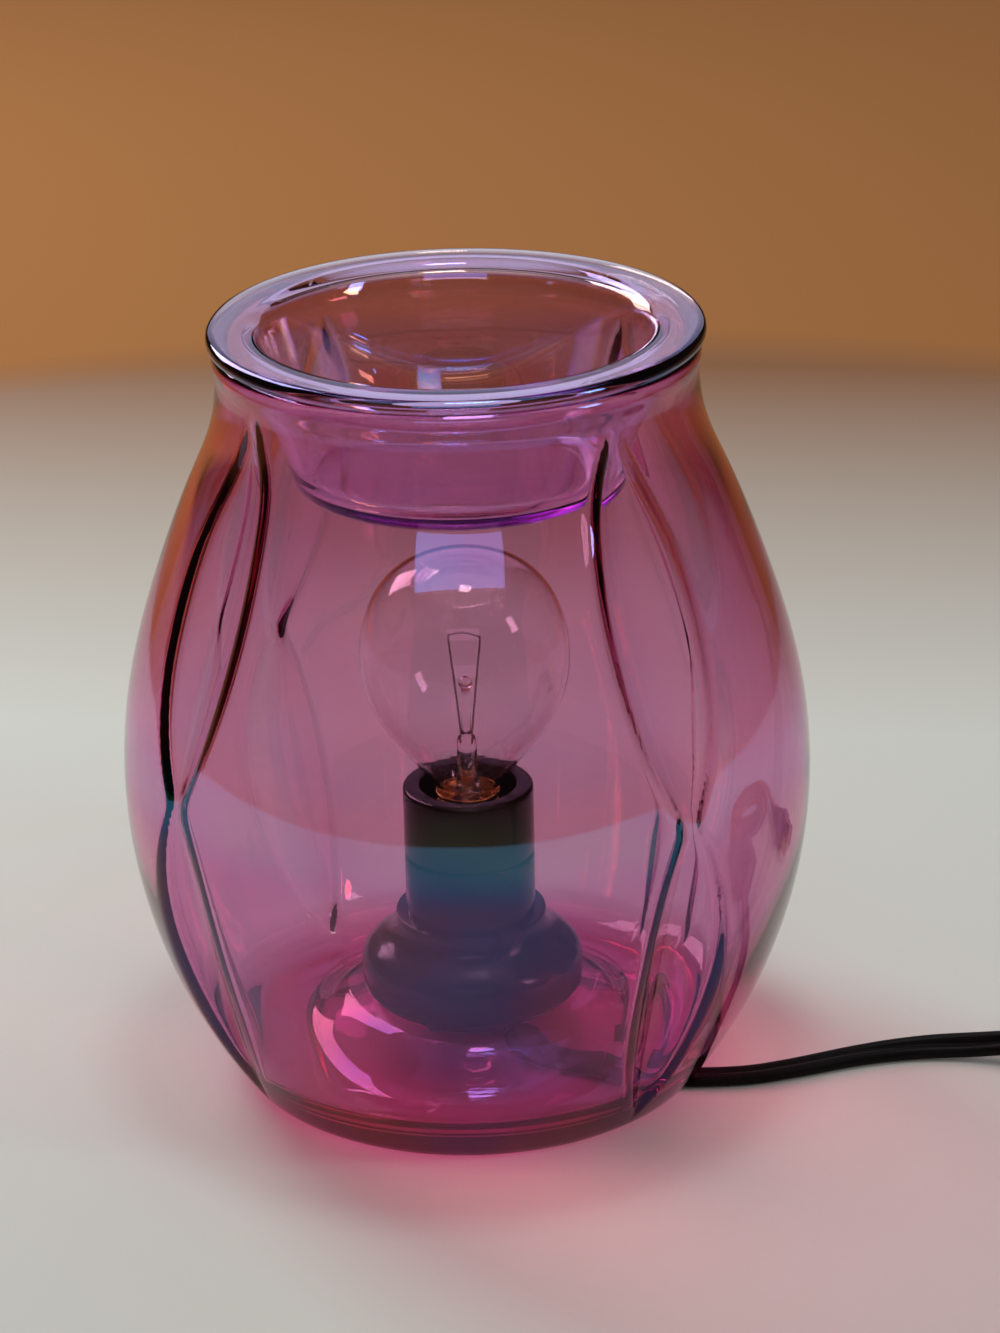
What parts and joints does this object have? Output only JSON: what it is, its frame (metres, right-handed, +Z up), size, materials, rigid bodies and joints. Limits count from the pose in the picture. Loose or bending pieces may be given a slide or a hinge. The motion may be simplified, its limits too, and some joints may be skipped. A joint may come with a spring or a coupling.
{
  "type": "electric wax warmer",
  "caption": "Pinched glass jar with a globe bulb standing inside and a flanged glass dish in its mouth that melts wax, on a flat cord with an in-line switch.",
  "frame": {"origin": "centre of the foot ring, on the surface the jar stands on", "axes": "+Z up along the jar; the four lobes of the glass face +X, -X, +Y and -Y; the cord leaves the foot towards +X"},
  "size_m": [0.3436, 0.1458, 0.166],
  "materials": {
    "jar_glass": "thin purple glass with a light lustre, glossy",
    "dish_glass": "clear lavender-tinted pressed glass",
    "bulb_glass": "clear, thin",
    "holder_plastic": "moulded phenolic, black",
    "gasket_rubber": "cut sheet, matt",
    "contact_brass": "pressed sheet",
    "cap_brass": "rolled thread, bright",
    "cap_insulator": "black vitreous insulator",
    "tip_metal": "solder",
    "lead_metal": "drawn wire",
    "cord_rubber": "flexible vinyl, black",
    "tie_plastic": "moulded strap, black",
    "plug_plastic": "moulded vinyl, black",
    "blade_brass": "stamped blades",
    "switch_plastic": "moulded, black",
    "rocker_plastic": "moulded, black",
    "screw_steel": "blackened steel"
  },
  "bodies": {
    "warmer": {"glass_jar": "jar_glass", "holder_skirt": "holder_plastic", "upper_gasket": "gasket_rubber", "lower_gasket": "gasket_rubber", "ring_nut": "holder_plastic", "cord_grip": "cord_rubber", "holder_body": "holder_plastic", "holder_ring": "holder_plastic", "contact_carrier": "holder_plastic", "screw_shell": "contact_brass", "shell_rivets": "contact_brass", "centre_contact": "contact_brass", "terminal_screws": "contact_brass", "lead_cores": "cord_rubber", "cord_tail": "cord_rubber", "cord_to_switch": "cord_rubber", "cord_to_coil": "cord_rubber", "cord_coil": "cord_rubber", "coil_tie": "tie_plastic", "cord_to_plug": "cord_rubber", "plug_relief": "plug_plastic", "plug_body": "plug_plastic", "plug_blades": "blade_brass", "switch_base": "switch_plastic", "switch_cover": "switch_plastic", "rocker_pin": "lead_metal", "terminal_common": "contact_brass", "terminal_load": "contact_brass", "switch_terminal_screws": "contact_brass", "switch_cores": "cord_rubber", "cover_screws": "screw_steel"},
    "dish": {"wax_dish": "dish_glass"},
    "bulb_tip": {"tip_contact": "tip_metal"},
    "bulb": {"bulb_glass": "bulb_glass", "bulb_cap": "cap_brass", "cap_insulator": "cap_insulator", "bulb_stem": "bulb_glass", "lead_wires": "lead_metal", "filament": "lead_metal"},
    "rocker": {"switch_rocker": "rocker_plastic", "switch_plunger": "rocker_plastic", "plunger_spring": "lead_metal"},
    "seesaw": {"seesaw_contact": "contact_brass"}
  },
  "joints": [
    {"name": "dish_lift", "type": "slide", "parent": "warmer", "child": "dish", "axis": [0, 0, 1], "range_m": [0, 0.04]},
    {"name": "bulb_rise", "type": "slide", "parent": "warmer", "child": "bulb_tip", "axis": [0, 0, 1], "range_m": [0, 0.0127]},
    {"name": "bulb_unscrew", "type": "hinge", "parent": "bulb_tip", "child": "bulb", "pos_m": [0, 0, 0.043], "axis": [0, 0, 1], "range_deg": [0, 1800]},
    {"name": "rocker_tip", "type": "hinge", "parent": "warmer", "child": "rocker", "pos_m": [0.166, -0.0034, 0.0129], "axis": [0, -1, 0], "range_deg": [0, 20]},
    {"name": "seesaw_tip", "type": "hinge", "parent": "warmer", "child": "seesaw", "pos_m": [0.166, -0.0034, 0.0049], "axis": [0, 1, 0], "range_deg": [0, 10]}
  ],
  "couplings": [
    {"joint": "bulb_rise", "follows": "bulb_unscrew", "m_per_rad": 0.00040425},
    {"joint": "seesaw_tip", "follows": "rocker_tip", "ratio": 0.5}
  ]
}
